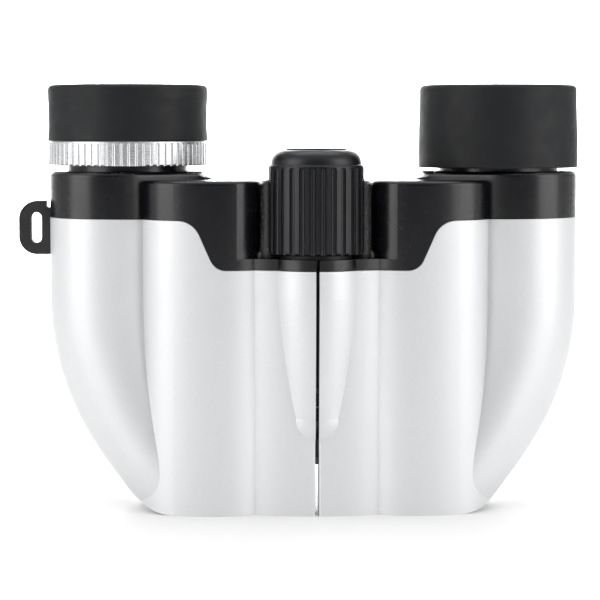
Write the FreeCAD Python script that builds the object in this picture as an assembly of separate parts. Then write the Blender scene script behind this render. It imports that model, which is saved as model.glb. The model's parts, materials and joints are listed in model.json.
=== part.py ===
"""Compact reverse-Porro binoculars: two prism bodies that fold about a central hinge, a central focus
knob that carries both objective cells along, and a diopter ring on the left eyepiece. The part stands on
its objective ends.

Shapes are built about the hinge axis: x runs outward from it, y from the knob side (front) to the
underside (back), z up from the plane of the objective ends. Everything is moved to the part's own frame
when it is saved.
All dimensions are in millimetres and all angles in degrees."""

import FreeCAD
import Part
import math
import os

V = FreeCAD.Vector
UP = V(0, 0, 1)

# ---------------------------------------------------------------- driving dimensions
WALL = 1.3
SLIT = 0.34                     # half the gap between the two bodies
SEAM = 0.12                     # shadow gap between housing and cover

# optical layout
OBJECTIVE = V(19.6, 7.9, 0)     # objective axis
EYE = V(37.26, 15.49, 0)        # eyepiece axis
PRISM_TURN = -38.0              # direction of the upper prism, seen from the objective axis
PRISM_HALF = 4.0                # half a prism's thickness
UPPER_PRISM = V(math.cos(math.radians(PRISM_TURN)), math.sin(math.radians(PRISM_TURN)), 0)
MIDDLE = OBJECTIVE + UPPER_PRISM * UPPER_PRISM.dot(EYE - OBJECTIVE)   # the two prisms cross at a right angle

# body
FRONT_Y = -5.6                  # front surface of the objective lobe and of the web beside the slit
LOBE_R = 13.5                   # objective lobe
SIDE_X = 52.7                   # widest point of the body
OUTER_R = 12.5                  # corner radius of the outer lobe, seen from above
OUTER_FRONT = 12.6              # centre of its front corner, in y
OUTER_BACK = 17.5               # centre of its back corner
PANEL_ANGLE = 27.0              # slope of the panel that leads from the groove to its front corner
TAPER_TOP = 42.5                # the side starts to curve in here
TAPER_R = 54.5
TAPER_ANGLE = 37.0
TOE_R = 12.5                    # rounding between the side and the objective end
VALLEY_X = 12.1                 # groove between the web and the objective lobe
FOLD = 46.0
V_ANGLE = FOLD / 2 + 1.0        # the bodies leave this much room on each side of the middle plane
PLATE_Z = 65.3                  # top of the cover
BOSS_Z = 66.9                   # top of the raised ring round the eyepiece
BOSS_R = 15.4                   # the ring's radius at its top, on the side of the hinge
BOSS_SLOPE = 2.4                # how far its flank runs out
EDGE_R = 0.9                    # rounding of the cover's upper edges
CROWN_STEPS = 5
LEDGE_Z = 50.1                  # floor of the pocket that the focus knob stands in
POCKET_R = 10.8
POCKET_FLARE = 8.0              # rounding between the pocket and the front surface
SEAM_LOW = 48.0
SEAM_HIGH = 57.65

# hinge
BARREL_R = 4.4                  # hinge knuckles
BARREL_GAP = 0.3
TUBE_R = 2.6
TUBE_BORE = 2.0
HINGE_Z = 10.0                  # lower end of the hinge
HUMP_R = 9.1                    # hump over the hinge

# focus
KNOB_R = 9.35
KNOB_RIBS = 28
KNOB_Z = (50.9, 68.35, 71.6)    # foot, top of the ribs, top
CELL_R = 11.95                  # objective cell, sliding in the housing's bore
BORE_R = 12.0
LENS_R = 11.2

# eyepieces
NECK_R = 12.0
NECK_BORE = 9.5
NECK_TOP = 73.0
CUP_R = 16.0
CUP_TOP = 84.1
RING_Z = (68.1, 72.9)
RING_RIBS = 68
LUG_REACH = 6.3                 # how far the strap lug stands out from the side
LUG_Z = (50.3, 61.0)

CUP_SIDE = EYE.x + CUP_R
ORIGIN_X = (SIDE_X + LUG_REACH - CUP_SIDE) / 2
ORIGIN_Y = (KNOB_R - EYE.y - CUP_R) / 2


# ---------------------------------------------------------------- small helpers
def cylinder(radius, low, high, at=V(0, 0, 0)):
    return Part.makeCylinder(radius, high - low, V(at.x, at.y, low))


def ring(outer, inner, low, high, at=V(0, 0, 0)):
    return cylinder(outer, low, high, at).cut(cylinder(inner, low - 1, high + 1, at))


def box(x, y, z):
    return Part.makeBox(x[1] - x[0], y[1] - y[0], z[1] - z[0], V(x[0], y[0], z[0]))


def chain(parts):
    """A closed wire from points and arcs. A point starts a straight edge; a tuple (middle, end) is an arc."""
    edges = []
    start = parts[0]
    for part in parts[1:] + [parts[0]]:
        if isinstance(part, tuple):
            edges.append(Part.Arc(start, part[0], part[1]).toShape())
            start = part[1]
        else:
            if start.distanceToPoint(part) > 1e-6:
                edges.append(Part.LineSegment(start, part).toShape())
            start = part
    return Part.Wire(edges)


def slab(wire, low, high):
    """The wire's face, drawn at z = 0, raised from low to high."""
    face = Part.Face(wire)
    face.translate(V(0, 0, low))
    return face.extrude(V(0, 0, high - low))


def crown(section, high, radius):
    """The top of a shape whose upper edge is rounded. section(inset) gives its wire, drawn at z = 0."""
    wires = []
    for i in range(CROWN_STEPS + 1):
        a = math.radians(90.0 * i / CROWN_STEPS)
        wire = section(radius * (1 - math.cos(a)))
        wire.translate(V(0, 0, high - radius + radius * math.sin(a)))
        wires.append(wire)
    return Part.makeLoft(wires, True, True)


def turned(profile, at=V(0, 0, 0)):
    """Turns a profile of (radius, z) points and arcs about the upright axis through at."""
    def point(p):
        return V(p[0], 0, p[1])
    parts = [tuple(point(q) for q in p) if isinstance(p[0], tuple) else point(p) for p in profile]
    solid = Part.Face(chain(parts)).revolve(V(0, 0, 0), UP, 360)
    solid.translate(at)
    return solid


def dome(rim, rim_z, pole_z):
    """The arc of a spherical face, from its rim to its pole on the axis."""
    sag = abs(pole_z - rim_z)
    ball = (rim ** 2 + sag ** 2) / (2 * sag)
    drop = ball - math.sqrt(ball ** 2 - rim ** 2 / 4)
    return (rim / 2, pole_z + math.copysign(drop, rim_z - pole_z)), (0, pole_z)


def lens(radius, low, high, at):
    """A lens between two faces. Each face is (height of its rim, height of its pole)."""
    lower = dome(radius, *low)
    upper = dome(radius, *high)
    return turned([(0, low[1]), (lower[0], (radius, low[0])), (radius, high[0]), upper], at)


def polar(centre, radius, angle):
    a = math.radians(angle)
    return V(centre.x + radius * math.cos(a), centre.y + radius * math.sin(a), centre.z)


def turn_about_z(shape, angle):
    copy = shape.copy()
    copy.rotate(V(0, 0, 0), UP, angle)
    return copy


def mirrored(shape):
    return shape.mirror(V(0, 0, 0), V(1, 0, 0))


def joined(first, *others):
    return first.multiFuse(list(others)).removeSplitter() if others else first


def flutes(radius, count, low, high, share, at=V(0, 0, 0)):
    """Cutters for upright round grooves round a drum: share of their pitch wide, with ball-shaped tops."""
    half = math.pi * radius / count * share
    bar = turned([(0, low), (half, low), (half, high - half), dome(half, high - half, high)])
    cutters = []
    for i in range(count):
        cutter = bar.copy()
        cutter.translate(polar(at, radius + 0.03, 360.0 * (i + 0.5) / count))
        cutters.append(cutter)
    return Part.makeCompound(cutters)


def save(name, shape):
    solids = shape.Solids
    assert solids and all(s.isValid() and s.Volume > 0 for s in solids), name
    placed = solids[0] if len(solids) == 1 else Part.makeCompound(solids)
    placed = placed.copy()
    placed.translate(V(ORIGIN_X, ORIGIN_Y, 0))
    placed.exportStep("parts/" + name + ".step")


# ---------------------------------------------------------------- outline of one body
def silhouette(z):
    """How far the side stands from the hinge axis at height z, before the toe is rounded."""
    low_z = TAPER_TOP - TAPER_R * math.sin(math.radians(TAPER_ANGLE))
    if z >= TAPER_TOP:
        return SIDE_X
    if z >= low_z:
        a = math.asin((TAPER_TOP - z) / TAPER_R)
        return SIDE_X - TAPER_R * (1 - math.cos(a))
    low_x = SIDE_X - TAPER_R * (1 - math.cos(math.radians(TAPER_ANGLE)))
    return low_x - (low_z - z) * math.tan(math.radians(TAPER_ANGLE))


def lobe_section(z, inset, level=None):
    """Section of the outer lobe: two round corners and a flat panel to the back of the objective lobe.
    It is drawn at height z, or at level."""
    share = (silhouette(z) - silhouette(0)) / (SIDE_X - silhouette(0))
    x = silhouette(z) - OUTER_R
    r = OUTER_R - inset
    front = V(x, 8.5 + (OUTER_FRONT - 8.5) * share, z)
    back = V(x, 9.0 + (OUTER_BACK - 9.0) * share, z)
    big = V(OBJECTIVE.x, OBJECTIVE.y, z)
    panel = V(math.cos(math.radians(PANEL_ANGLE)), -math.sin(math.radians(PANEL_ANGLE)), 0)
    touch_front = front + V(panel.y, -panel.x, 0) * r
    root = touch_front - panel * (5.0 + 9.0 * share)

    to_back = back - big
    normal = math.atan2(to_back.y, to_back.x) + math.acos((LOBE_R - OUTER_R) / to_back.Length)
    out = V(math.cos(normal), math.sin(normal), 0)
    touch_back = back + out * r
    touch_big = big + out * (LOBE_R - inset)

    def between(centre, first, last):
        middle = (first - centre).normalize() + (last - centre).normalize()
        return centre + middle.normalize() * r

    side_front = front + V(r, 0, 0)
    side_back = back + V(r, 0, 0)
    wire = chain([root, touch_front, (between(front, touch_front, side_front), side_front), side_back,
                  (between(back, side_back, touch_back), touch_back), touch_big])
    if level is not None:
        wire.translate(V(0, 0, level - z))
    return wire


def outer_lobe(inset, low, high):
    """The outer lobe from low to high. Below TAPER_TOP it follows the curve of the side."""
    levels = [low + (TAPER_TOP - low) * i / 8 for i in range(9)]
    tapered = Part.makeLoft([lobe_section(z, inset) for z in levels], True, False)
    straight = slab(lobe_section(TAPER_TOP, inset, 0), TAPER_TOP, high)
    return tapered.fuse(straight)


def core_wire(inset):
    """Section of the objective lobe with the web that reaches the hinge, as lines and arcs."""
    lobe = OBJECTIVE
    r = LOBE_R - inset
    v_dir = V(math.sin(math.radians(V_ANGLE)), math.cos(math.radians(V_ANGLE)), 0)
    v_off = V(v_dir.y, -v_dir.x, 0) * (SLIT + inset)
    valley_a = 180 + math.degrees(math.acos((OBJECTIVE.x - VALLEY_X) / LOBE_R))
    valley = polar(lobe, r, valley_a + (0 if inset == 0 else 4))
    ridge = polar(lobe, r, 270)
    slope = 22.0
    broad_r = 22.0
    corner_r = 11.5
    broad = V(lobe.x, FRONT_Y + broad_r, 0)
    slope_end = polar(broad, broad_r - inset, 270 + slope)
    corner = polar(broad, broad_r - corner_r, 270 + slope)
    corner_end = polar(corner, corner_r - inset, -5)
    side_low = polar(lobe, r, 20)
    back_left = polar(lobe, r, 140)
    v_end = v_dir * 13.2 + v_off
    v_mid = v_dir * 16.0 + v_off * 1.5
    v_start = v_dir * 0.6 + v_off
    slit_x = SLIT + inset
    edge = 0.5
    return chain([
        V(slit_x, FRONT_Y + edge + inset, 0),
        (V(slit_x + edge * 0.293, FRONT_Y + edge * 0.293 + inset, 0), V(slit_x + edge, FRONT_Y + inset, 0)),
        (V(7.2, FRONT_Y + 0.5 + inset, 0), valley),
        (polar(lobe, r, (valley_a + 270) / 2 + 1), ridge),
        (polar(broad, broad_r - inset, 270 + slope / 2), slope_end),
        (polar(corner, corner_r - inset, (270 + slope + 355) / 2), corner_end),
        side_low,
        (polar(lobe, r, 80), back_left),
        (v_mid, v_end),
        v_start,
        V(slit_x, v_start.y - 0.4, 0),
    ])


def hump():
    """The bullet-shaped hump over the hinge, on the front only."""
    shape = turned([(0, 14.5), (5.4, 14.5), ((6.3, 15.9), (6.92, 19.2)), ((7.97, 28.3), (HUMP_R, TAPER_TOP)),
                    (HUMP_R, LEDGE_Z), (0, LEDGE_Z)])
    return shape.common(box((SLIT, 20), (-20, 0), (0, LEDGE_Z)))


def toe_cutter():
    """What is cut away where the side meets the objective end."""
    a = math.radians(90 - TAPER_ANGLE)
    end_z = TOE_R * (1 - math.cos(a))
    end_x = silhouette(end_z)
    start_x = end_x - TOE_R * math.sin(a)
    mid = V(start_x + TOE_R * math.sin(a / 2), 0, TOE_R * (1 - math.cos(a / 2)))
    wire = chain([V(start_x, 0, -1), V(start_x, 0, 0), (mid, V(end_x, 0, end_z)),
                  V(end_x + 9, 0, end_z), V(end_x + 9, 0, -1)])
    wire.translate(V(0, -20, 0))
    return Part.Face(wire).extrude(V(0, 70, 0))


def body_block():
    """The whole outside of the right body, before it is split into housing and cover."""
    core = slab(core_wire(0), 0, PLATE_Z - EDGE_R).fuse(crown(core_wire, PLATE_Z, EDGE_R))
    lobe = outer_lobe(0, 0, BOSS_Z - EDGE_R)
    lobe = lobe.fuse(crown(lambda inset: lobe_section(TAPER_TOP, inset, 0), BOSS_Z, EDGE_R))
    boss = Part.makeCone(BOSS_R + BOSS_SLOPE, BOSS_R, BOSS_Z - PLATE_Z, V(EYE.x, EYE.y, PLATE_Z))
    boss = boss.fuse(box((EYE.x, 60), (-20, 40), (PLATE_Z, BOSS_Z)))
    lobe = lobe.common(box((0, 60), (-20, 40), (0, PLATE_Z)).fuse(boss))
    block = core.fuse(lobe).fuse(hump()).removeSplitter()
    return block.cut(toe_cutter())


def body_room(low, high, wall=WALL):
    """The room inside the walls of the right body between two heights."""
    core = slab(core_wire(wall), low, high)
    return core.fuse(outer_lobe(wall, 6.0, high).common(box((0, 60), (-20, 40), (max(low, 6.0), high))))


def above_seam(drop=0.0):
    """Everything above the S-shaped seam between housing and cover."""
    steep = 66.0
    s, c = math.sin(math.radians(steep)), math.cos(math.radians(steep))
    sh, ch = math.sin(math.radians(steep / 2)), math.cos(math.radians(steep / 2))
    low_r, high_r, low_x = 3.4, 4.6, 17.6
    a = V(low_x, 0, SEAM_LOW)
    b = V(low_x + low_r * s, 0, SEAM_LOW + low_r * (1 - c))
    rise = SEAM_HIGH - high_r * (1 - c) - b.z
    d = V(b.x + rise * c / s, 0, b.z + rise)
    e = V(d.x + high_r * s, 0, SEAM_HIGH)
    a_b = V(low_x + low_r * sh, 0, SEAM_LOW + low_r * (1 - ch))
    d_e = V(e.x - high_r * sh, 0, SEAM_HIGH - high_r * (1 - ch))
    wire = chain([V(-2, 0, SEAM_LOW), a, (a_b, b), d, (d_e, e), V(60, 0, SEAM_HIGH + 0.3), V(60, 0, 90),
                  V(-2, 0, 90)])
    wire.translate(V(0, -20, -drop))
    return Part.Face(wire).extrude(V(0, 70, 0))


def pocket_wire(grow):
    """Outline of the room round the focus knob: a round wall about the hinge that flares out to the front."""
    r = POCKET_R + grow
    flare = V(0, FRONT_Y + POCKET_FLARE, 0)
    flare.x = math.sqrt((POCKET_R + POCKET_FLARE) ** 2 - flare.y ** 2)
    meet = math.degrees(math.atan2(flare.y, flare.x))
    flare_r = POCKET_FLARE - grow
    end = V(-2, math.sqrt(r ** 2 - 4), 0)
    return chain([V(-2, -12, 0), V(flare.x, -12, 0), V(flare.x, flare.y - flare_r, 0),
                  (polar(flare, flare_r, (270 + 180 + meet) / 2), polar(flare, flare_r, 180 + meet)),
                  (polar(V(0, 0, 0), r, 50), end)])


def knob_pocket():
    """The room beside the focus knob, with a rounded edge at the top."""
    straight = slab(pocket_wire(0), LEDGE_Z, PLATE_Z - EDGE_R)
    flare = crown(pocket_wire, PLATE_Z, EDGE_R)
    return straight.fuse(flare).fuse(slab(pocket_wire(EDGE_R), PLATE_Z, 70))


# ---------------------------------------------------------------- one body's fixed pieces
SHELF_Z = (50.8, 52.8)
TUBE_TOP = 27.0                                    # top of the objective bore
ARM_ANGLE = math.degrees(math.atan2(OBJECTIVE.y, OBJECTIVE.x))
LEAF_SCREWS = [30.5, 44.1]
LEAF_SCREW_X = 8.6
COVER_SCREW_X = (30.0, 42.0)


def back_y(x):
    """Where the flat back panel lies at x, near the top of the body."""
    section = lobe_section(TAPER_TOP, 0)
    low = section.Vertexes[-1].Point
    high = section.Vertexes[-2].Point
    return low.y + (high.y - low.y) * (x - low.x) / (high.x - low.x)


SHELF_SCREWS = [V(SIDE_X - 3.4, 12.5, 0), V(23.6, back_y(23.6) - 3.3, 0)]


def spoke(width, inner, outer, low, high, angle):
    """A straight bar that points away from the hinge axis."""
    bar = box((inner, outer), (-width / 2, width / 2), (low, high))
    return turn_about_z(bar, angle)


def housing(block):
    shell = block.cut(above_seam(SEAM))
    room = body_room(2.4, SEAM_HIGH + 2)
    tube = cylinder(BORE_R + WALL, 0, TUBE_TOP, OBJECTIVE)
    heel = cylinder(BARREL_R + BARREL_GAP + WALL, 0, HINGE_Z - 0.4)
    shell = shell.cut(room.cut(tube.fuse(heel)))
    shell = shell.cut(cylinder(BORE_R, 2.4, TUBE_TOP + 1, OBJECTIVE))
    shell = shell.cut(cylinder(BORE_R + 0.2, -1, 2.4, OBJECTIVE))
    shell = shell.cut(cylinder(BARREL_R + BARREL_GAP, HINGE_Z - 0.4, 60))
    shell = shell.cut(round_ended(MIDDLE, EYE, PRISM_HALF + 0.15, 38.0, 60.0))
    shell = shell.cut(spoke(3.8, 3.0, 11.0, 16.2, 26.6, ARM_ANGLE))
    posts = []
    for at in SHELF_SCREWS:
        post = cylinder(2.4, 36.0, SHELF_Z[0], at).common(block)
        posts.append(post.cut(cylinder(0.62, 44.0, 51.0, at)))
    for z in LEAF_SCREWS:
        posts.append(Part.makeCylinder(1.9, 2.3, V(LEAF_SCREW_X, -3.9, z), V(0, 1, 0)))
    lining = body_room(50.0, 64.0, WALL + 0.15)
    for x in COVER_SCREW_X:
        y = cover_screw_y(x)
        tab = box((x - 2.2, x + 2.2), (y - 4.4, y), (53.5, 63.4)).common(lining)
        root = box((x - 2.2, x + 2.2), (y - 4.4, y - 0.5), (53.5, SEAM_HIGH - 0.4)).common(block)
        posts.append(tab.fuse(root).cut(Part.makeCylinder(0.72, 8, V(x, y - 5, 61.5), V(0, 1, 0))))
    shell = joined(shell, *posts)
    for z in LEAF_SCREWS:
        shell = shell.cut(Part.makeCylinder(0.62, 3.0, V(LEAF_SCREW_X, -3.1, z), V(0, 1, 0)))
    return shell


def cover(block):
    shell = block.common(above_seam()).cut(knob_pocket())
    room = body_room(44.0, PLATE_Z - WALL).cut(slab(pocket_wire(WALL), 44.0, 70))
    shell = shell.cut(room)
    shell = shell.cut(cylinder(BARREL_R + BARREL_GAP, 40, 60))
    shell = shell.fuse(cylinder(NECK_R, PLATE_Z - WALL, NECK_TOP, EYE))
    shell = shell.cut(cylinder(NECK_BORE, 60, 80, EYE)).removeSplitter()
    for x in COVER_SCREW_X:
        y = cover_screw_y(x)
        shell = shell.cut(Part.makeCylinder(0.8, 6, V(x, y - 5, 61.5), V(0, 1, 0)))
        shell = shell.cut(Part.makeCylinder(1.7, 8, V(x, y - 0.9, 61.5), V(0, 1, 0)))
    return shell


def cover_screw_y(x):
    """Back surface of the cover at x."""
    if x < silhouette(60) - OUTER_R - 4:
        return back_y(x)
    return OUTER_BACK + math.sqrt(OUTER_R ** 2 - (x - (SIDE_X - OUTER_R)) ** 2)


def cover_screws():
    screws = []
    for x in COVER_SCREW_X:
        y = cover_screw_y(x)
        head = Part.makeCylinder(1.6, 0.8, V(x, y - 0.9, 61.5), V(0, 1, 0))
        slot = box((x - 1.2, x + 1.2), (y - 0.4, y + 1), (61.3, 61.7))
        cross = box((x - 0.2, x + 0.2), (y - 0.4, y + 1), (60.3, 62.7))
        shank = Part.makeCylinder(0.7, 3.6, V(x, y - 4.4, 61.5), V(0, 1, 0))
        screws.append(head.fuse(shank).cut(slot).cut(cross).removeSplitter())
    return Part.makeCompound(screws)


def prism_shelf():
    low, high = SHELF_Z
    gap = WALL + 0.15
    plate = slab(core_wire(gap), low, high)
    plate = plate.fuse(slab(lobe_section(TAPER_TOP, gap, 0), low, high)).removeSplitter()
    plate = plate.cut(slab(pocket_wire(WALL + 0.2), low - 1, high + 1))
    for centre in (OBJECTIVE, MIDDLE, EYE):
        plate = plate.cut(cylinder(PRISM_HALF - 0.4, low - 1, high + 1, centre))
    for at in SHELF_SCREWS:
        plate = plate.cut(cylinder(0.9, low - 1, high + 1, at))
    return plate


def round_ended(first, second, half, low, high):
    """A bar with round ends about two axes."""
    along = (second - first).normalize()
    across = V(-along.y, along.x, 0) * half
    ends = [first - across, (first - along * half, first + across), second + across,
            (second + along * half, second - across)]
    return slab(chain(ends), low, high)


def porro_prism(first, second, base, up):
    """A roof of 45 degrees over the two axes, with round ends. up is 1 or -1."""
    span = (second - first).Length / 2 + PRISM_HALF
    middle = (first + second) / 2
    angle = math.degrees(math.atan2(second.y - first.y, second.x - first.x))
    blunt = 0.8
    tip = span - blunt
    roof = chain([V(-span, 0, 0), V(span, 0, 0), V(blunt, 0, up * tip), V(-blunt, 0, up * tip)])
    roof.translate(V(0, -PRISM_HALF - 1, 0))
    solid = Part.Face(roof).extrude(V(0, 2 * PRISM_HALF + 2, 0))
    solid.rotate(V(0, 0, 0), UP, angle)
    solid.translate(V(middle.x, middle.y, base))
    low, high = sorted((base, base + up * span))
    return solid.common(round_ended(first, second, PRISM_HALF, low, high))


def prism_clip(first, second, base, up):
    """A spring-steel bridge that presses a prism onto the shelf."""
    reach = (second - first).Length / 2 + PRISM_HALF - 0.8
    middle = (first + second) / 2
    angle = math.degrees(math.atan2(second.y - first.y, second.x - first.x))
    inner, sheet, width = PRISM_HALF + 0.15, 0.4, 5.0
    outer_box = box((-width / 2, width / 2), (-inner - sheet, inner + sheet), (0, reach + sheet))
    hollow = box((-width, width), (-inner, inner), (-1, reach))
    clip = outer_box.cut(hollow)
    if up < 0:
        clip = clip.mirror(V(0, 0, 0), UP)
    clip.rotate(V(0, 0, 0), UP, angle)
    clip.translate(V(middle.x, middle.y, base))
    return clip


def shelf_screws():
    screws = []
    for at in SHELF_SCREWS:
        head = cylinder(1.5, SHELF_Z[1], SHELF_Z[1] + 0.9, at)
        shank = cylinder(0.6, 45.0, SHELF_Z[1], at)
        slot = box((at.x - 2, at.x + 2), (at.y - 0.2, at.y + 0.2), (SHELF_Z[1] + 0.5, SHELF_Z[1] + 2))
        screws.append(head.fuse(shank).cut(slot).removeSplitter())
    return Part.makeCompound(screws)


def objective_bezel():
    return turned([(11.3, 0.25), (11.9, 0.25), ((12.1, 0.35), (12.18, 0.6)), (12.18, 2.35), (11.0, 2.35),
                   (11.0, 1.2)], OBJECTIVE)


# ---------------------------------------------------------------- hinge
KNUCKLES = {"left": [(11.5, 15.2), (34.0, 40.6)], "right": [(27.2, 33.8), (40.8, 47.4)]}


def hinge_leaf(side):
    """Knuckles and the plate that carries them, for a body on the right."""
    bore = TUBE_R if side == "left" else TUBE_R + 0.04
    plate = box((5.4, 10.4), (-1.6, 0.0), (27.2, 47.4))
    foot = box((5.4, 8.8), (-1.6, 0.0), (11.5, 27.2))
    leaf = plate.fuse(foot) if side == "left" else plate
    for low, high in KNUCKLES[side]:
        leaf = leaf.fuse(cylinder(BARREL_R, low, high))
        leaf = leaf.fuse(box((2.7, 5.5), (-1.6, 0.0), (low, high)))
    leaf = leaf.cut(cylinder(bore, 0, 60)).removeSplitter()
    for z in LEAF_SCREWS:
        leaf = leaf.cut(Part.makeCylinder(0.8, 4, V(LEAF_SCREW_X, -2, z), V(0, 1, 0)))
    return leaf


def leaf_screws():
    screws = []
    for z in LEAF_SCREWS:
        head = Part.makeCylinder(1.4, 0.8, V(LEAF_SCREW_X, 0, z), V(0, 1, 0))
        shank = Part.makeCylinder(0.6, 3.0, V(LEAF_SCREW_X, -3.0, z), V(0, 1, 0))
        slot = box((LEAF_SCREW_X - 2, LEAF_SCREW_X + 2), (0.4, 2), (z - 0.2, z + 0.2))
        screws.append(head.fuse(shank).cut(slot).removeSplitter())
    return Part.makeCompound(screws)


def hinge_tube():
    tube = ring(TUBE_R, TUBE_BORE, HINGE_Z + 0.4, LEDGE_Z)
    return tube.cut(box((-0.65, 0.65), (-3, 3), (18.2, 24.2)))


def hinge_end_nut():
    nut = turned([(0, 10.0), (3.6, 10.0), ((4.05, 10.15), (4.2, 10.5)), (4.2, 11.4), (TUBE_R, 11.4),
                  (TUBE_R, 10.4), (0, 10.4)])
    slot = box((-3.0, 3.0), (-0.4, 0.4), (9.0, 10.25))
    return nut.cut(slot)


def hinge_washers():
    gaps = [(15.2, 15.4), (33.8, 34.0), (40.6, 40.8)]
    return Part.makeCompound([ring(4.0, TUBE_R + 0.04, low, high) for low, high in gaps])


# ---------------------------------------------------------------- focus drive
SPOOL_Z = (17.4, 25.0)
ARM_Z = {"right": (18.4, 21.0), "left": (21.4, 24.0)}


def focus_carriage():
    low, high = SPOOL_Z
    core = cylinder(3.3, low, high)
    core = core.fuse(cylinder(4.35, low, low + 0.95)).fuse(cylinder(4.35, high - 0.95, high))
    core = core.cut(cylinder(TUBE_R + 0.04, 0, 60))
    core = core.cut(Part.makeCylinder(0.5, 10, V(0, -5, 21.2), V(0, 1, 0)))
    return core.removeSplitter()


def focus_nut():
    nut = ring(TUBE_BORE - 0.05, 1.25, 19.6, 22.8)
    return nut.cut(Part.makeCylinder(0.5, 10, V(0, -5, 21.2), V(0, 1, 0)))


def focus_pins():
    pins = []
    for sign in (-1, 1):
        pins.append(Part.makeCylinder(0.5, 1.95, V(0, sign * 1.3, 21.2), V(0, sign, 0)))
    return Part.makeCompound(pins)


def focus_arm(side):
    low, high = ARM_Z[side]
    end = OBJECTIVE.Length - CELL_R
    arm = cylinder(4.35, low, high)
    arm = arm.fuse(spoke(3.0, 3.0, end - 0.05, low, high, ARM_ANGLE))
    peg = Part.makeCylinder(0.9, 0.8, V(end - 0.1, 0, (low + high) / 2), V(1, 0, 0))
    arm = arm.fuse(turn_about_z(peg, ARM_ANGLE))
    return arm.cut(cylinder(3.34, low - 1, high + 1)).removeSplitter()


def focus_knob():
    foot, ribs, top = KNOB_Z
    r = KNOB_R
    knob = turned([(0, foot), (8.5, foot), ((8.9, foot + 0.15), (r, foot + 0.5)), (r, ribs - 0.45),
                   ((r - 0.12, ribs - 0.1), (r - 0.5, ribs)), ((8.2, 70.35), (6.4, top - 0.35)),
                   (0, top - 0.35)])
    knob = knob.cut(flutes(r, KNOB_RIBS, foot - 1, ribs - 0.4, 0.55))
    hollow = ring(7.2, 3.4, foot - 1, ribs - 2.0)
    knob = knob.cut(hollow)
    knob = knob.cut(cylinder(1.92, foot - 1, ribs - 4.0))
    return knob.cut(cylinder(6.05, top - 1.0, top + 1))


def knob_cap():
    top = KNOB_Z[2]
    return turned([(0, top - 1.0), (6.0, top - 1.0), (6.0, top - 0.2), ((5.9, top - 0.05), (5.7, top)),
                   dome(5.7, top, top - 0.16)])


def focus_spindle():
    rod = cylinder(1.2, 15.0, 50.0)
    for i in range(12):
        z = 17.6 + i * 0.8
        rod = rod.cut(ring(1.4, 0.98, z, z + 0.3))
    rod = rod.fuse(cylinder(1.9, LEDGE_Z, KNOB_Z[1] - 4.0))
    return rod.fuse(cylinder(1.2, 49.9, LEDGE_Z)).removeSplitter()


def thrust_washer():
    return ring(7.1, TUBE_R + 0.3, LEDGE_Z + 0.05, KNOB_Z[0] - 0.1)


def objective_cell(side):
    r = CELL_R
    cell = turned([(LENS_R, 6.6), (r - 0.2, 6.6), (r, 6.8), (r, 25.5), (LENS_R, 25.5), (LENS_R, 13.4),
                   (10.5, 13.4), (10.5, 12.6), (LENS_R, 12.6)], OBJECTIVE)
    low, high = ARM_Z[side]
    hole = Part.makeCylinder(0.92, 4, V(OBJECTIVE.Length - CELL_R - 1, 0, (low + high) / 2), V(1, 0, 0))
    return cell.cut(turn_about_z(hole, ARM_ANGLE))


def objective_doublet():
    """A crown and a flint lens, cemented along one curved face."""
    r = LENS_R - 0.05
    front, joint, back = (8.3, 7.3), (9.6, 11.3), (12.5, 12.2)
    return lens(r, front, joint, OBJECTIVE), lens(r, joint, back, OBJECTIVE)


def objective_retainer():
    return ring(LENS_R - 0.03, 10.7, 6.9, 7.9, OBJECTIVE).cut(
        lens(LENS_R, (8.3, 7.3), (9.6, 11.3), OBJECTIVE))


# ---------------------------------------------------------------- eyepieces
def eyepiece_cell():
    outside = [(4.7, 57.0), (7.8, 57.0), (7.8, 64.0), (9.45, 64.0), (9.45, 73.6), (12.0, 73.6), (12.0, 74.6),
               (9.3, 74.6), (9.3, 77.2)]
    inside = [(8.3, 77.2), (8.3, 72.6), (6.2, 72.6), (6.2, 64.4), (6.8, 64.4), (6.8, 58.2), (4.7, 58.2)]
    return turned(outside + inside, EYE)


def field_lens():
    return turned([(0, 60.2), (6.75, 60.2), (6.75, 61.8), dome(6.75, 61.8, 63.8)], EYE)


def field_lens_spacer():
    return ring(6.76, 5.9, 58.2, 60.2, EYE)


def eye_lens():
    low = dome(6.1, 72.6, 72.0)
    return turned([(0, 72.0), (low[0], (6.1, 72.6)), (8.25, 72.6), (8.25, 74.8), dome(8.25, 74.8, 76.0)],
                  EYE)


def eye_lens_retainer():
    return turned([(7.3, 75.3), (8.28, 75.0), (8.28, 77.0), (7.9, 77.0)], EYE).cut(eye_lens())


def eyecup_seat(side):
    """The hard sleeve that holds the rubber eyecup and keeps the eyepiece's flange captive."""
    bore = 12.2 if side == "left" else NECK_R + 0.1
    low = RING_Z[1] if side == "left" else 67.8
    step = [] if side == "left" else [(bore, 73.5), (12.2, 73.5)]
    return turned([(bore, low), (13.6, low), (13.6, 77.4), (12.6, 77.4), (12.6, 75.7), (9.5, 75.7),
                   (9.5, 74.7), (12.2, 74.7)] + step[::-1], EYE)


def diopter_ring():
    low, high = RING_Z
    r = CUP_R
    body = turned([(NECK_R + 0.1, low), (r - 0.3, low), (r, low + 0.3), (r, high - 0.12), (r - 0.12, high),
                   (NECK_R + 0.1, high)], EYE)
    return body.cut(flutes(r, RING_RIBS, low - 1, high - 0.3, 0.5, EYE))


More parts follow.
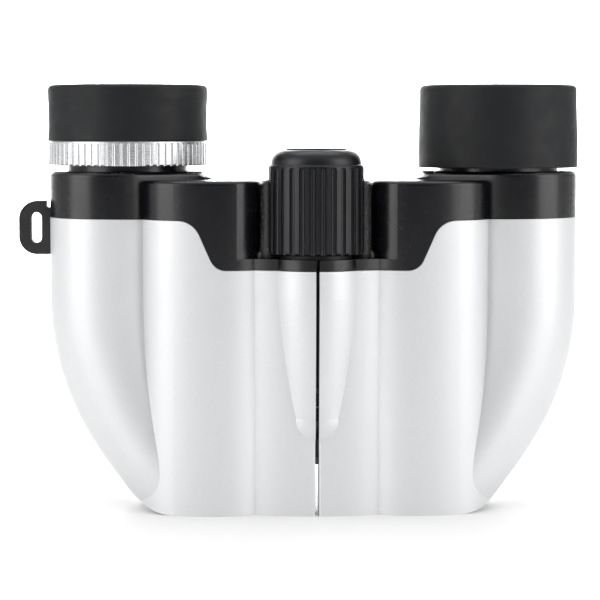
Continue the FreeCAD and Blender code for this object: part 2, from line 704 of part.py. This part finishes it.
def eyecup(side):
    low = RING_Z[1] + 0.05 if side == "left" else 67.6
    r = CUP_R
    top = CUP_TOP
    foot = [(13.65, low), (r - 0.1, low), (r, low + 0.25)]
    if side == "left":
        wall = [(r - 0.15, low + 3.0), (r - 0.12, top - 4.2), (r, top - 2.6), (r, top - 1.0)]
    else:
        wall = [(r, top - 10.1), (r - 0.2, top - 4.0), (r - 0.2, top - 1.0)]
    outer = wall[-1][0]
    rim = [((outer - 0.25, top - 0.3), (outer - 0.95, top)), (13.1, top),
           ((12.4, top - 0.35), (12.2, top - 1.1))]
    inner = [((12.75, top - 3.6), (12.9, 78.2)), (12.3, 77.5), (13.65, 77.5)]
    return turned(foot + wall + rim + inner, EYE)


# ---------------------------------------------------------------- strap lug
LUG_Y = (12.6, 15.8)


def strap_lug():
    """A D-shaped loop on the left side, drawn on the right and mirrored, with a tongue through the cover."""
    low, high = LUG_Z
    near, far = SIDE_X + 0.1, SIDE_X + LUG_REACH
    r = 3.6
    q = r * (1 - math.sqrt(0.5))
    wire = chain([V(near, 0, low), V(far - r, 0, low), (V(far - q, 0, low + q), V(far, 0, low + r)),
                  V(far, 0, high - r), (V(far - q, 0, high - q), V(far - r, 0, high)), V(near + 0.7, 0, high),
                  V(near + 0.7, 0, high - 1.1), V(near, 0, high - 1.4)])
    wire.translate(V(0, LUG_Y[0], 0))
    loop = Part.Face(wire).extrude(V(0, LUG_Y[1] - LUG_Y[0], 0))
    slot_x, slot_r = SIDE_X + 2.8, 1.05
    slot_low, slot_high = low + 2.3 + slot_r, high - 2.3 - slot_r
    slot = Part.makeCylinder(slot_r, 9, V(slot_x, 8, slot_low), V(0, 1, 0))
    slot = slot.fuse(Part.makeCylinder(slot_r, 9, V(slot_x, 8, slot_high), V(0, 1, 0)))
    slot = slot.fuse(box((slot_x - slot_r, slot_x + slot_r), (8, 17), (slot_low, slot_high)))
    width = (LUG_Y[0] + 0.4, LUG_Y[1] - 0.4)
    tongue = box((SIDE_X - 2.6, near + 0.2), width, (high - 2.2, high - 1.4))
    barb = box((SIDE_X - 2.6, SIDE_X - 1.7), width, (high - 2.2, high - 0.9))
    return loop.cut(slot).fuse(tongue).fuse(barb).removeSplitter()


def lug_socket():
    across = (LUG_Y[0] + 0.35, LUG_Y[1] - 0.35)
    return box((SIDE_X - 3, SIDE_X + 1), across, (LUG_Z[1] - 2.25, LUG_Z[1] - 1.35))


# ---------------------------------------------------------------- put it together
def save_side(side):
    place = mirrored if side == "left" else (lambda shape: shape)
    block = body_block()
    top = cover(block)
    if side == "left":
        top = top.cut(lug_socket())
    crown_lens, flint_lens = objective_doublet()
    pieces = {
        "housing": housing(block),
        "cover": top,
        "cover_screws": cover_screws(),
        "objective_bezel": objective_bezel(),
        "prism_shelf": prism_shelf(),
        "shelf_screws": shelf_screws(),
        "upper_prism": porro_prism(OBJECTIVE, MIDDLE, SHELF_Z[1], 1),
        "lower_prism": porro_prism(MIDDLE, EYE, SHELF_Z[0], -1),
        "upper_prism_clip": prism_clip(OBJECTIVE, MIDDLE, SHELF_Z[1], 1),
        "lower_prism_clip": prism_clip(MIDDLE, EYE, SHELF_Z[0], -1),
        "hinge_leaf": hinge_leaf(side),
        "leaf_screws": leaf_screws(),
        "focus_arm": focus_arm(side),
        "objective_cell": objective_cell(side),
        "objective_crown": crown_lens,
        "objective_flint": flint_lens,
        "objective_retainer": objective_retainer(),
        "eyepiece_cell": eyepiece_cell(),
        "field_lens": field_lens(),
        "field_stop": field_lens_spacer(),
        "eye_lens": eye_lens(),
        "eye_lens_retainer": eye_lens_retainer(),
        "eyecup_seat": eyecup_seat(side),
        "eyecup": eyecup(side),
    }
    for name, shape in pieces.items():
        save(side + "_" + name, place(shape))


def main():
    os.makedirs("parts", exist_ok=True)
    save_side("left")
    save_side("right")
    save("strap_lug", mirrored(strap_lug()))
    save("diopter_ring", mirrored(diopter_ring()))
    save("hinge_tube", hinge_tube())
    save("hinge_end_nut", hinge_end_nut())
    save("hinge_washers", hinge_washers())
    save("focus_knob", focus_knob())
    save("knob_cap", knob_cap())
    save("focus_spindle", focus_spindle())
    save("thrust_washer", thrust_washer())
    save("focus_carriage", focus_carriage())
    save("focus_nut", focus_nut())
    save("focus_pins", focus_pins())


main()
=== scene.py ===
"""Looks of the compact binoculars: paint, moulded plastic, rubber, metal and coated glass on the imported
parts, the small marks that the parts carry, and the studio that they stand in. All lengths are in metres."""

import bmesh
import bpy
import json
import math
from mathutils import Matrix, Vector


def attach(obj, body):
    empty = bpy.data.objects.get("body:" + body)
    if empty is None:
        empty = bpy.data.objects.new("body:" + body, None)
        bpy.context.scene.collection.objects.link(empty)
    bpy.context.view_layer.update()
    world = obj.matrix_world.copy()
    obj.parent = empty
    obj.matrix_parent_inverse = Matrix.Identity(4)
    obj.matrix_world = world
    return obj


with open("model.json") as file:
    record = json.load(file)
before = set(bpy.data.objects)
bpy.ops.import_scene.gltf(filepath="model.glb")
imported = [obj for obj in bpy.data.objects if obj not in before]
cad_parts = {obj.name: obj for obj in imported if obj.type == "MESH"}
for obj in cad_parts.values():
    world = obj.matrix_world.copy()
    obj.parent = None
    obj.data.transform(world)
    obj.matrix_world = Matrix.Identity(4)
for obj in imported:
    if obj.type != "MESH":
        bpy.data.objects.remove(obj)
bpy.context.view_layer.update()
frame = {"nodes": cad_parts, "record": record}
nodes = frame["nodes"]
MM = 0.001
HINGE = Vector((2.87, -11.07, 0.0)) * MM        # the hinge axis in the frame's coordinates

# ---------------------------------------------------------------- camera
TARGET = Vector((0.00004, 0.0, 0.04113))
DISTANCE = 0.4895
AZIMUTH = 1.78
ELEVATION = 3.98
LENS = 146.55


def add_camera():
    turn = math.radians(AZIMUTH)
    lift = math.radians(ELEVATION)
    back = Vector((-math.sin(turn) * math.cos(lift), -math.cos(turn) * math.cos(lift), math.sin(lift)))
    data = bpy.data.cameras.new("camera")
    data.lens = LENS
    data.sensor_width = 36.0
    data.clip_start = 0.01
    camera = bpy.data.objects.new("camera", data)
    camera.location = TARGET + back * DISTANCE
    camera.rotation_euler = (-back).to_track_quat("-Z", "Y").to_euler()
    bpy.context.scene.collection.objects.link(camera)
    bpy.context.scene.camera = camera


add_camera()


# ---------------------------------------------------------------- materials
class Shader:
    """A material with one Principled shader, and short ways to drive its sockets from procedural detail."""

    def __init__(self, name, color, roughness, metallic=0.0, **sockets):
        self.material = bpy.data.materials.new(name)
        self.material.use_nodes = True
        self.tree = self.material.node_tree
        self.surface = self.tree.nodes["Principled BSDF"]
        self.surface.inputs["Base Color"].default_value = (*color, 1.0)
        self.surface.inputs["Roughness"].default_value = roughness
        self.surface.inputs["Metallic"].default_value = metallic
        for socket, value in sockets.items():
            self.surface.inputs[socket.replace("_", " ")].default_value = value
        self.place = self.tree.nodes.new("ShaderNodeTexCoord").outputs["Object"]
        self.height = None

    def link(self, source, target):
        self.tree.links.new(source, target)

    def noise(self, size, detail=3.0, stretch=(1, 1, 1)):
        """Cloudy noise whose features are about size metres across, longer where stretch is below 1."""
        mapping = self.tree.nodes.new("ShaderNodeMapping")
        mapping.inputs["Scale"].default_value = stretch
        self.link(self.place, mapping.inputs["Vector"])
        texture = self.tree.nodes.new("ShaderNodeTexNoise")
        texture.inputs["Scale"].default_value = 1.0 / size
        texture.inputs["Detail"].default_value = detail
        self.link(mapping.outputs[0], texture.inputs["Vector"])
        return texture.outputs["Fac"]

    def spread(self, source, low, high, start=0.35, end=0.65):
        """Maps the middle of a noise to a range of values."""
        node = self.tree.nodes.new("ShaderNodeMapRange")
        node.inputs["From Min"].default_value = start
        node.inputs["From Max"].default_value = end
        node.inputs["To Min"].default_value = low
        node.inputs["To Max"].default_value = high
        self.link(source, node.inputs["Value"])
        return node.outputs["Result"]

    def vary_roughness(self, source, low, high):
        self.link(self.spread(source, low, high), self.surface.inputs["Roughness"])

    def vary_color(self, source, first, second, start=0.35, end=0.65):
        ramp = self.tree.nodes.new("ShaderNodeValToRGB")
        ramp.color_ramp.elements[0].position = start
        ramp.color_ramp.elements[0].color = (*first, 1.0)
        ramp.color_ramp.elements[1].position = end
        ramp.color_ramp.elements[1].color = (*second, 1.0)
        self.link(source, ramp.inputs["Fac"])
        self.link(ramp.outputs["Color"], self.surface.inputs["Base Color"])

    def bump(self, source, depth):
        """Raises the surface by up to depth metres. A second call adds to the first."""
        node = self.tree.nodes.new("ShaderNodeBump")
        node.inputs["Strength"].default_value = 1.0
        node.inputs["Distance"].default_value = depth
        self.link(source, node.inputs["Height"])
        if self.height is not None:
            self.link(self.height, node.inputs["Normal"])
        self.height = node.outputs["Normal"]
        self.link(self.height, self.surface.inputs["Normal"])


def silver_paint():
    """Satin silver lacquer with very fine metal flakes and a faint orange peel."""
    shader = Shader("silver_paint", (0.7, 0.705, 0.715), 0.44, 0.35)
    flakes = shader.noise(0.0003, 1.0)
    shader.vary_color(flakes, (0.69, 0.695, 0.70), (0.72, 0.725, 0.735), 0.3, 0.7)
    shader.vary_roughness(shader.noise(0.004, 4.0), 0.42, 0.46)
    shader.bump(shader.noise(0.002, 2.0), 0.000002)
    return shader.material


def moulded(name, color, low, high, grain=0.000004, specular=0.5):
    """Moulded plastic or rubber with a fine grain, slightly uneven in colour and shine."""
    shader = Shader(name, color, low, 0.0, Specular_IOR_Level=specular)
    lighter = [c * 1.25 for c in color]
    shader.vary_color(shader.noise(0.005, 5.0), color, lighter)
    shader.vary_roughness(shader.noise(0.003, 4.0), low, high)
    shader.bump(shader.noise(0.0003, 2.0), grain)
    return shader.material


def metal(name, color, low, high, stretch=(1, 1, 1)):
    """Turned or drawn metal with fine tool marks along one direction."""
    shader = Shader(name, color, low, 1.0)
    marks = shader.noise(0.0004, 4.0, stretch)
    shader.vary_color(marks, [c * 0.85 for c in color], color)
    shader.vary_roughness(marks, low, high)
    shader.bump(marks, 0.000006)
    return shader.material


def coated_glass(name, tint, film):
    """Lens glass: dark inside, with a thin coloured anti-reflection film."""
    shader = Shader(name, tint, 0.02, 0.0, Coat_Weight=1.0, Coat_Roughness=0.02, Coat_Tint=(*film, 1.0),
                    Specular_IOR_Level=0.6, Specular_Tint=(*film, 1.0))
    shader.vary_color(shader.noise(0.012, 2.0), tint, [c * 1.6 + 0.004 for c in tint])
    shader.vary_roughness(shader.noise(0.002, 5.0), 0.015, 0.05)
    return shader.material


def prism_glass():
    """Clear glass with ground edges."""
    shader = Shader("prism_glass", (0.82, 0.9, 0.88), 0.06, 0.0, Transmission_Weight=0.85, IOR=1.52)
    shader.vary_roughness(shader.noise(0.001, 4.0), 0.03, 0.12)
    return shader.material


def make_materials():
    return {
        "shell_silver": silver_paint(),
        "shell_black": moulded("shell_black", (0.002, 0.0023, 0.0036), 0.24, 0.28, 0.000002),
        "screw_black": metal("screw_black", (0.09, 0.09, 0.095), 0.3, 0.5),
        "bezel_black": moulded("bezel_black", (0.012, 0.012, 0.014), 0.25, 0.4),
        "frame_black": moulded("frame_black", (0.008, 0.008, 0.009), 0.45, 0.6),
        "steel": metal("steel", (0.56, 0.56, 0.57), 0.22, 0.4, (1, 1, 6)),
        "brass": metal("brass", (0.74, 0.56, 0.28), 0.25, 0.42, (1, 1, 6)),
        "prism_glass": prism_glass(),
        "lens_glass": coated_glass("lens_glass", (0.012, 0.016, 0.03), (0.55, 0.65, 1.0)),
        "cell_black": moulded("cell_black", (0.008, 0.008, 0.009), 0.4, 0.55),
        "eyecup_rubber": moulded("eyecup_rubber", (0.0062, 0.0068, 0.008), 0.5, 0.6, 0.00001, 0.28),
        "ring_silver": metal("ring_silver", (0.83, 0.835, 0.85), 0.24, 0.4, (1, 1, 5)),
        "knob_black": moulded("knob_black", (0.004, 0.0045, 0.0062), 0.32, 0.38, specular=0.4),
        "lug_black": moulded("lug_black", (0.012, 0.012, 0.013), 0.5, 0.65),
    }


def dress_nodes(materials):
    slots = {entry["node"]: entry["material_slot"] for entry in frame["record"]["subparts"]}
    for name, node in nodes.items():
        material = materials[slots[name]]
        if not node.material_slots:
            node.data.materials.append(material)
        for entry in node.material_slots:
            entry.material = material
        for polygon in node.data.polygons:
            polygon.use_smooth = True


# ---------------------------------------------------------------- small marks
EYEPIECE = Vector((-37.26, 15.49, 0.0))         # left eyepiece axis, in millimetres from the hinge
PLATE_TOP = 65.3                                # top of the black cover
MARK_RISE = 0.12                                # how far a mark stands up from it
MARK_RADIUS = 22.0                              # the dial marks' distance from the eyepiece axis
DIAL_MARKS = (("minus", -44.7, ((1.9, 0.45),)),  # name, angle round that axis, sizes of its bars
              ("tick", -32.2, ((0.9, 0.45),)),
              ("plus", -15.6, ((3.0, 0.5), (0.5, 3.0))))
NUB_ANGLE = -21.2                               # where the index nub stands round the same axis
NUB_RADIUS = 15.9


def add_bars(name, centre, angle, bars, low, high, body, slot):
    """One piece made of flat bars that share a centre, turned about the vertical axis. Sizes are in mm."""
    turn = Matrix.Rotation(math.radians(angle), 4, "Z")
    shape = bmesh.new()
    for length, width in bars:
        made = bmesh.ops.create_cube(shape, size=1.0)
        for vert in made["verts"]:
            flat = turn @ Vector((vert.co.x * length, vert.co.y * width, 0.0))
            vert.co = HINGE + (centre + flat) * MM
            vert.co.z = (low if vert.co.z < 0 else high) * MM
    mesh = bpy.data.meshes.new(name)
    shape.to_mesh(mesh)
    shape.free()
    piece = bpy.data.objects.new(name, mesh)
    piece.data.materials.append(materials[slot])
    bpy.context.scene.collection.objects.link(piece)
    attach(piece, body)


def add_marks():
    """Generic minus, tick and plus beside the diopter ring, and the index nub on the eyecup above it."""
    for name, angle, bars in DIAL_MARKS:
        place = EYEPIECE + Matrix.Rotation(math.radians(angle), 4, "Z") @ Vector((MARK_RADIUS, 0, 0))
        add_bars("dial_" + name, place, angle + 90, bars, PLATE_TOP - 0.05, PLATE_TOP + MARK_RISE,
                 "left_half", "frame_black")
    place = EYEPIECE + Matrix.Rotation(math.radians(NUB_ANGLE), 4, "Z") @ Vector((NUB_RADIUS, 0, 0))
    add_bars("index_nub", place, NUB_ANGLE + 90, ((0.7, 0.5),), 74.35, 76.05, "diopter_collar",
             "eyecup_rubber")


materials = make_materials()
dress_nodes(materials)
add_marks()


# ---------------------------------------------------------------- studio
# brightness of the surroundings, from the front to the back
SURROUND = ((0.02, 0.05), (0.2, 0.85), (0.5, 0.75), (0.78, 0.38), (1.0, 0.38))


def stage_material(name, color):
    shader = Shader(name, color, 0.6)
    shader.vary_roughness(shader.noise(0.05, 3.0), 0.55, 0.7)
    return shader.material


def add_floor():
    """A pale floor that curves up into a backdrop."""
    mesh = bpy.data.meshes.new("floor")
    profile = [(-1.5, 0.0), (0.6, 0.0)]
    radius = 0.5
    for i in range(1, 17):
        a = math.pi / 2 * i / 16
        profile.append((0.6 + radius * math.sin(a), radius * (1 - math.cos(a))))
    profile.append((0.6 + radius, 2.0))
    verts = [(x, y, z) for y, z in profile for x in (-2.5, 2.5)]
    faces = [(2 * i, 2 * i + 1, 2 * i + 3, 2 * i + 2) for i in range(len(profile) - 1)]
    mesh.from_pydata(verts, [], faces)
    mesh.polygons.foreach_set("use_smooth", [True] * len(faces))
    floor = bpy.data.objects.new("floor", mesh)
    floor.data.materials.append(stage_material("pale_floor", (0.88, 0.88, 0.88)))
    bpy.context.scene.collection.objects.link(floor)


def add_light(name, place, size, power, aim=Vector((0, 0, 0.04)), spread=180):
    data = bpy.data.lights.new(name, "AREA")
    data.shape = "RECTANGLE"
    data.size, data.size_y = size
    data.energy = power
    data.spread = math.radians(spread)
    light = bpy.data.objects.new(name, data)
    light.location = place
    light.rotation_euler = (aim - Vector(place)).to_track_quat("-Z", "Y").to_euler()
    bpy.context.scene.collection.objects.link(light)


def add_world():
    """Soft white light from the sides and above, weaker from the front and from behind."""
    world = bpy.data.worlds.new("studio")
    world.use_nodes = True
    tree = world.node_tree
    place = tree.nodes.new("ShaderNodeTexCoord")
    split = tree.nodes.new("ShaderNodeSeparateXYZ")
    depth = tree.nodes.new("ShaderNodeMapRange")
    depth.inputs["From Min"].default_value = -1.0
    ramp = tree.nodes.new("ShaderNodeValToRGB")
    stops = ramp.color_ramp.elements
    while len(stops) < len(SURROUND):
        stops.new(0.5)
    for stop, (position, light) in zip(stops, SURROUND):
        stop.position = position
        stop.color = (light, light, light, 1.0)
    tree.links.new(place.outputs["Generated"], split.inputs[0])
    tree.links.new(split.outputs["Y"], depth.inputs["Value"])
    tree.links.new(depth.outputs["Result"], ramp.inputs["Fac"])
    tree.links.new(ramp.outputs["Color"], tree.nodes["Background"].inputs["Color"])
    bpy.context.scene.world = world


bpy.context.scene.view_settings.view_transform = "Standard"
add_floor()
add_world()
add_light("left_softbox", (-0.50, -0.27, 0.16), (0.4, 0.6), 1.8)
add_light("right_softbox", (0.50, -0.27, 0.16), (0.4, 0.6), 1.8)
add_light("top_softbox", (0.0, 0.15, 0.75), (0.7, 0.4), 2.2)
add_light("backdrop_light", (0.0, 0.5, 0.8), (0.5, 0.2), 14.0, aim=Vector((0.0, 1.1, 0.1)), spread=90)
